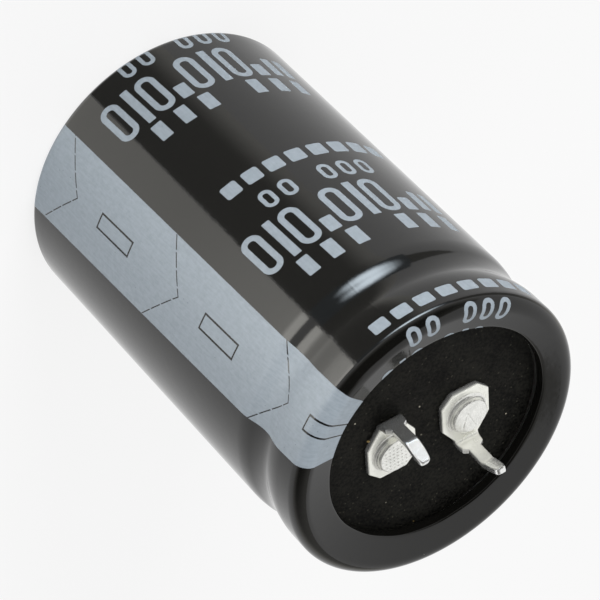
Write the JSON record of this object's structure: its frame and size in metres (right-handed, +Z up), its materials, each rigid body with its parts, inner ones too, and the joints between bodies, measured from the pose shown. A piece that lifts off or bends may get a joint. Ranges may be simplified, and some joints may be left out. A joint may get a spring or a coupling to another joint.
{
  "type": "electrolytic capacitor",
  "caption": "Cylindrical snap-in aluminium electrolytic capacitor: beaded can in a black shrink sleeve with a grey polarity stripe, rubber-faced header and riveted kinked lugs.",
  "frame": {"origin": "on the can's axis, in the plane that the closed end rests on", "axes": "+Z up the can's axis towards the lugs; the two pins lie on the X axis, the negative one at +X"},
  "size_m": [0.0303, 0.0302, 0.0502],
  "materials": {
    "can_aluminium": "drawn, satin",
    "sleeve_film": "glossy heat-shrink film with a blue-grey printed stripe and marks",
    "phenolic": "pressed laminate",
    "rubber": "matt, fine-grained",
    "tinned_lug": "bright tin plate over stamped sheet",
    "rivet_aluminium": "cold-formed, bright",
    "inner_aluminium": "rolled strip",
    "rolled_paper": "foil and paper soaked in electrolyte",
    "closing_tape": "thin film tape"
  },
  "bodies": {
    "root": {"can": "can_aluminium", "sleeve": "sleeve_film", "terminal_board": "phenolic", "seal_rubber": "rubber", "lug_positive": "tinned_lug", "lug_negative": "tinned_lug", "rivet_positive": "rivet_aluminium", "rivet_negative": "rivet_aluminium", "washer_positive": "inner_aluminium", "washer_negative": "inner_aluminium", "anode_tab": "inner_aluminium", "cathode_tab": "inner_aluminium", "winding": "rolled_paper", "winding_tape": "closing_tape"}
  },
  "joints": []
}
